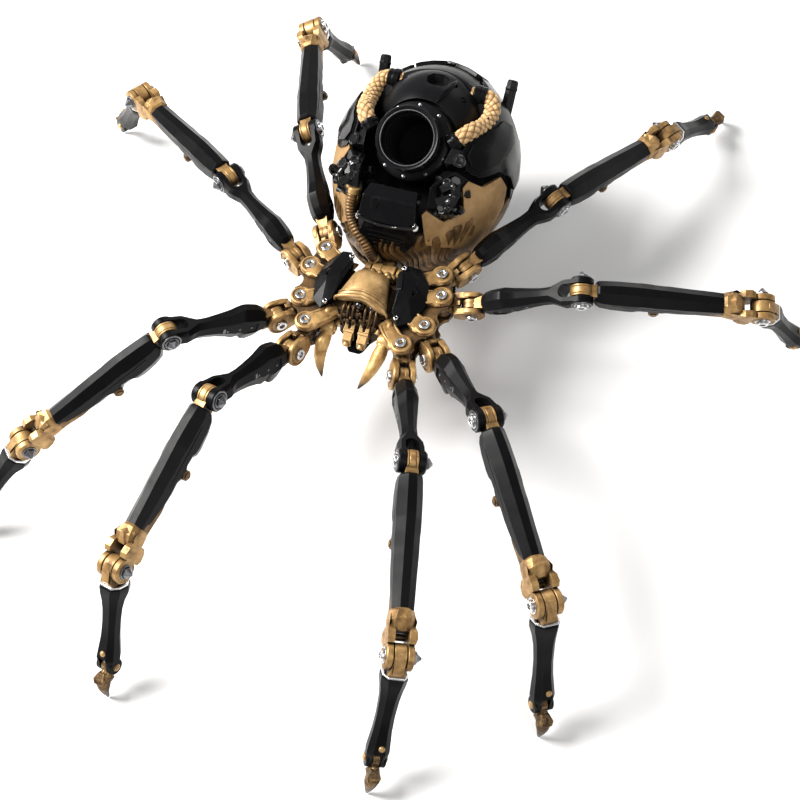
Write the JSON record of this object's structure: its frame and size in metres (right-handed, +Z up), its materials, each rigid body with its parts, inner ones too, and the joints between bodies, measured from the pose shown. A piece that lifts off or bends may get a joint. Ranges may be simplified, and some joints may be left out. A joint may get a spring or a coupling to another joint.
{
  "type": "mechanical spider robot",
  "caption": "Poseable mechanical spider with jointed legs, hooked claws, fangs and an egg-shaped abdomen carrying a short wide cannon.",
  "frame": {"origin": "on the ground under the centre of the bounding box, where the claws stand", "axes": "+Z up, -Y the way the head and the cannon face, +X the spider's left"},
  "size_m": [0.373, 0.3902, 0.1085],
  "materials": {
    "antique_gold": "satin antique gold paint with dark wash in the recesses",
    "gloss_black": "satin to gloss black with worn lighter edges",
    "claw_bronze": "dark bronze, worn gold at the root",
    "braided_hose": "pale gold braided sleeve with dark wash",
    "screw_steel": "bright nickel screw heads, pins and rings"
  },
  "bodies": {
    "thorax": {"thorax_frame": "antique_gold", "shoulder_plate_right": "gloss_black", "shoulder_plate_left": "gloss_black", "head_block": "antique_gold", "head_cowl": "antique_gold"},
    "abdomen": {"pedicel_knuckle": "antique_gold", "abdomen_shell": "antique_gold", "rib_flutes": "antique_gold", "rear_armour": "gloss_black", "turret_dome": "gloss_black", "side_wing_right": "gloss_black", "side_wing_left": "gloss_black", "cannon_barrel": "gloss_black", "chin_block": "gloss_black", "engine_block_right": "gloss_black", "engine_block_left": "gloss_black", "hose_right": "braided_hose", "hose_left": "braided_hose"},
    "fang_right": {"fang_right": "antique_gold"},
    "fang_left": {"fang_left": "antique_gold"},
    "coxa_r1": {"coxa_r1": "antique_gold"},
    "femur_r1": {"femur_r1": "gloss_black"},
    "tibia_r1": {"tibia_r1": "gloss_black"},
    "tarsus_r1": {"tarsus_r1": "gloss_black"},
    "claw_r1": {"claw_r1": "claw_bronze"},
    "coxa_r2": {"coxa_r2": "antique_gold"},
    "femur_r2": {"femur_r2": "gloss_black"},
    "tibia_r2": {"tibia_r2": "gloss_black"},
    "tarsus_r2": {"tarsus_r2": "gloss_black"},
    "claw_r2": {"claw_r2": "claw_bronze"},
    "coxa_r3": {"coxa_r3": "antique_gold"},
    "femur_r3": {"femur_r3": "gloss_black"},
    "tibia_r3": {"tibia_r3": "gloss_black"},
    "tarsus_r3": {"tarsus_r3": "gloss_black"},
    "claw_r3": {"claw_r3": "claw_bronze"},
    "coxa_r4": {"coxa_r4": "antique_gold"},
    "femur_r4": {"femur_r4": "gloss_black"},
    "tibia_r4": {"tibia_r4": "gloss_black"},
    "tarsus_r4": {"tarsus_r4": "gloss_black"},
    "claw_r4": {"claw_r4": "claw_bronze"},
    "coxa_l1": {"coxa_l1": "antique_gold"},
    "femur_l1": {"femur_l1": "gloss_black"},
    "tibia_l1": {"tibia_l1": "gloss_black"},
    "tarsus_l1": {"tarsus_l1": "gloss_black"},
    "claw_l1": {"claw_l1": "claw_bronze"},
    "coxa_l2": {"coxa_l2": "antique_gold"},
    "femur_l2": {"femur_l2": "gloss_black"},
    "tibia_l2": {"tibia_l2": "gloss_black"},
    "tarsus_l2": {"tarsus_l2": "gloss_black"},
    "claw_l2": {"claw_l2": "claw_bronze"},
    "coxa_l3": {"coxa_l3": "antique_gold"},
    "femur_l3": {"femur_l3": "gloss_black"},
    "tibia_l3": {"tibia_l3": "gloss_black"},
    "tarsus_l3": {"tarsus_l3": "gloss_black"},
    "claw_l3": {"claw_l3": "claw_bronze"},
    "coxa_l4": {"coxa_l4": "antique_gold"},
    "femur_l4": {"femur_l4": "gloss_black"},
    "tibia_l4": {"tibia_l4": "gloss_black"},
    "tarsus_l4": {"tarsus_l4": "gloss_black"},
    "claw_l4": {"claw_l4": "claw_bronze"}
  },
  "joints": [
    {"name": "abdomen_pitch", "type": "hinge", "parent": "thorax", "child": "abdomen", "pos_m": [-0.00142, 0.01902, 0.0535], "axis": [1, 0, 0], "range_deg": [-5, 10]},
    {"name": "fang_right_hinge", "type": "hinge", "parent": "thorax", "child": "fang_right", "pos_m": [-0.01502, -0.01598, 0.054], "axis": [1, 0, 0], "range_deg": [-15, 20]},
    {"name": "fang_left_hinge", "type": "hinge", "parent": "thorax", "child": "fang_left", "pos_m": [0.01189, -0.01638, 0.054], "axis": [1, 0, 0], "range_deg": [-15, 20]},
    {"name": "swivel_r1", "type": "hinge", "parent": "thorax", "child": "coxa_r1", "pos_m": [-0.02378, -0.01992, 0.05398], "axis": [0, 0, 1], "range_deg": [-12, 12]},
    {"name": "lift_r1", "type": "hinge", "parent": "coxa_r1", "child": "femur_r1", "pos_m": [-0.0269, -0.03254, 0.05398], "axis": [-0.9574, 0.2369, -0.165], "range_deg": [-8, 22]},
    {"name": "knee_r1", "type": "hinge", "parent": "femur_r1", "child": "tibia_r1", "pos_m": [-0.04212, -0.07786, 0.07721], "axis": [0.9574, -0.2369, 0.165], "range_deg": [-18, 22]},
    {"name": "ankle_r1", "type": "hinge", "parent": "tibia_r1", "child": "tarsus_r1", "pos_m": [-0.05659, -0.15288, 0.05348], "axis": [-0.9574, 0.2369, -0.165], "range_deg": [-8, 18]},
    {"name": "toe_r1", "type": "hinge", "parent": "tarsus_r1", "child": "claw_r1", "pos_m": [-0.05661, -0.17979, 0.01495], "axis": [-0.9574, 0.2369, -0.165], "range_deg": [-10, 25]},
    {"name": "swivel_r2", "type": "hinge", "parent": "thorax", "child": "coxa_r2", "pos_m": [-0.03056, -0.00807, 0.05398], "axis": [0, 0, 1], "range_deg": [-12, 12]},
    {"name": "lift_r2", "type": "hinge", "parent": "coxa_r2", "child": "femur_r2", "pos_m": [-0.03956, -0.01745, 0.05398], "axis": [-0.7217, 0.6921, -0.0122], "range_deg": [-8, 22]},
    {"name": "knee_r2", "type": "hinge", "parent": "femur_r2", "child": "tibia_r2", "pos_m": [-0.07347, -0.05243, 0.07526], "axis": [0.7217, -0.6921, 0.0122], "range_deg": [-18, 22]},
    {"name": "ankle_r2", "type": "hinge", "parent": "tibia_r2", "child": "tarsus_r2", "pos_m": [-0.12458, -0.10626, 0.04542], "axis": [-0.7217, 0.6921, -0.0122], "range_deg": [-8, 18]},
    {"name": "toe_r2", "type": "hinge", "parent": "tarsus_r2", "child": "claw_r2", "pos_m": [-0.14778, -0.13102, 0.0129], "axis": [-0.7217, 0.6921, -0.0122], "range_deg": [-10, 25]},
    {"name": "swivel_r3", "type": "hinge", "parent": "thorax", "child": "coxa_r3", "pos_m": [-0.03251, 0.00912, 0.05398], "axis": [0, 0, 1], "range_deg": [-12, 12]},
    {"name": "lift_r3", "type": "hinge", "parent": "coxa_r3", "child": "femur_r3", "pos_m": [-0.04345, 0.01615, 0.05398], "axis": [0.5397, 0.8407, -0.0436], "range_deg": [-8, 22]},
    {"name": "knee_r3", "type": "hinge", "parent": "femur_r3", "child": "tibia_r3", "pos_m": [-0.08738, 0.0448, 0.06265], "axis": [-0.5397, -0.8407, 0.0436], "range_deg": [-18, 22]},
    {"name": "ankle_r3", "type": "hinge", "parent": "tibia_r3", "child": "tarsus_r3", "pos_m": [-0.15452, 0.08746, 0.05416], "axis": [0.5397, 0.8407, -0.0436], "range_deg": [-8, 18]},
    {"name": "toe_r3", "type": "hinge", "parent": "tarsus_r3", "child": "claw_r3", "pos_m": [-0.17744, 0.10015, 0.01514], "axis": [0.5397, 0.8407, -0.0436], "range_deg": [-10, 25]},
    {"name": "swivel_r4", "type": "hinge", "parent": "thorax", "child": "coxa_r4", "pos_m": [-0.02902, 0.02017, 0.05398], "axis": [0, 0, 1], "range_deg": [-3, 14]},
    {"name": "lift_r4", "type": "hinge", "parent": "coxa_r4", "child": "femur_r4", "pos_m": [-0.03429, 0.03206, 0.05398], "axis": [0.8634, 0.3826, 0.3289], "range_deg": [-8, 22]},
    {"name": "knee_r4", "type": "hinge", "parent": "femur_r4", "child": "tibia_r4", "pos_m": [-0.0594, 0.07683, 0.06782], "axis": [-0.8634, -0.3826, -0.3289], "range_deg": [-18, 22]},
    {"name": "ankle_r4", "type": "hinge", "parent": "tibia_r4", "child": "tarsus_r4", "pos_m": [-0.08745, 0.15072, 0.05548], "axis": [0.8634, 0.3826, 0.3289], "range_deg": [-8, 18]},
    {"name": "toe_r4", "type": "hinge", "parent": "tarsus_r4", "child": "claw_r4", "pos_m": [-0.08288, 0.17486, 0.01541], "axis": [0.8634, 0.3826, 0.3289], "range_deg": [-10, 25]},
    {"name": "swivel_l1", "type": "hinge", "parent": "thorax", "child": "coxa_l1", "pos_m": [0.02094, -0.01992, 0.05398], "axis": [0, 0, 1], "range_deg": [-12, 12]},
    {"name": "lift_l1", "type": "hinge", "parent": "coxa_l1", "child": "femur_l1", "pos_m": [0.02528, -0.03217, 0.05398], "axis": [-0.8924, -0.316, 0.3223], "range_deg": [-8, 22]},
    {"name": "knee_l1", "type": "hinge", "parent": "femur_l1", "child": "tibia_l1", "pos_m": [0.04692, -0.07852, 0.06844], "axis": [0.8924, 0.316, -0.3223], "range_deg": [-18, 22]},
    {"name": "ankle_l1", "type": "hinge", "parent": "tibia_l1", "child": "tarsus_l1", "pos_m": [0.0669, -0.15376, 0.04999], "axis": [-0.8924, -0.316, 0.3223], "range_deg": [-8, 18]},
    {"name": "toe_l1", "type": "hinge", "parent": "tarsus_l1", "child": "claw_l1", "pos_m": [0.06458, -0.18391, 0.01401], "axis": [-0.8924, -0.316, 0.3223], "range_deg": [-10, 25]},
    {"name": "swivel_l2", "type": "hinge", "parent": "thorax", "child": "coxa_l2", "pos_m": [0.02773, -0.00807, 0.05398], "axis": [0, 0, 1], "range_deg": [-6, 12]},
    {"name": "lift_l2", "type": "hinge", "parent": "coxa_l2", "child": "femur_l2", "pos_m": [0.03592, -0.01817, 0.05398], "axis": [-0.7455, -0.6037, 0.2823], "range_deg": [-8, 22]},
    {"name": "knee_l2", "type": "hinge", "parent": "femur_l2", "child": "tibia_l2", "pos_m": [0.07129, -0.05272, 0.0735], "axis": [0.7455, 0.6037, -0.2823], "range_deg": [-18, 22]},
    {"name": "ankle_l2", "type": "hinge", "parent": "tibia_l2", "child": "tarsus_l2", "pos_m": [0.11579, -0.11648, 0.05467], "axis": [-0.7455, -0.6037, 0.2823], "range_deg": [-8, 18]},
    {"name": "toe_l2", "type": "hinge", "parent": "tarsus_l2", "child": "claw_l2", "pos_m": [0.12107, -0.14146, 0.01521], "axis": [-0.7455, -0.6037, 0.2823], "range_deg": [-10, 25]},
    {"name": "swivel_l3", "type": "hinge", "parent": "thorax", "child": "coxa_l3", "pos_m": [0.02969, 0.00912, 0.05398], "axis": [0, 0, 1], "range_deg": [-12, 12]},
    {"name": "lift_l3", "type": "hinge", "parent": "coxa_l3", "child": "femur_l3", "pos_m": [0.04224, 0.01251, 0.05398], "axis": [0.2475, -0.9172, -0.3123], "range_deg": [-8, 22]},
    {"name": "knee_l3", "type": "hinge", "parent": "femur_l3", "child": "tibia_l3", "pos_m": [0.09067, 0.01839, 0.07508], "axis": [-0.2475, 0.9172, 0.3123], "range_deg": [-18, 22]},
    {"name": "ankle_l3", "type": "hinge", "parent": "tibia_l3", "child": "tarsus_l3", "pos_m": [0.16409, 0.04442, 0.05683], "axis": [0.2475, -0.9172, -0.3123], "range_deg": [-8, 18]},
    {"name": "toe_l3", "type": "hinge", "parent": "tarsus_l3", "child": "claw_l3", "pos_m": [0.17835, 0.06226, 0.01575], "axis": [0.2475, -0.9172, -0.3123], "range_deg": [-10, 25]},
    {"name": "swivel_l4", "type": "hinge", "parent": "thorax", "child": "coxa_l4", "pos_m": [0.0262, 0.02017, 0.05398], "axis": [0, 0, 1], "range_deg": [-14, 3]},
    {"name": "lift_l4", "type": "hinge", "parent": "coxa_l4", "child": "femur_l4", "pos_m": [0.03287, 0.03133, 0.05398], "axis": [0.8269, -0.4949, -0.2672], "range_deg": [-8, 22]},
    {"name": "knee_l4", "type": "hinge", "parent": "femur_l4", "child": "tibia_l4", "pos_m": [0.06116, 0.07609, 0.05862], "axis": [-0.8269, 0.4949, 0.2672], "range_deg": [-18, 22]},
    {"name": "ankle_l4", "type": "hinge", "parent": "tibia_l4", "child": "tarsus_l4", "pos_m": [0.0957, 0.14514, 0.03763], "axis": [0.8269, -0.4949, -0.2672], "range_deg": [-8, 18]},
    {"name": "toe_l4", "type": "hinge", "parent": "tarsus_l4", "child": "claw_l4", "pos_m": [0.10878, 0.18146, 0.01083], "axis": [0.8269, -0.4949, -0.2672], "range_deg": [-10, 25]}
  ]
}
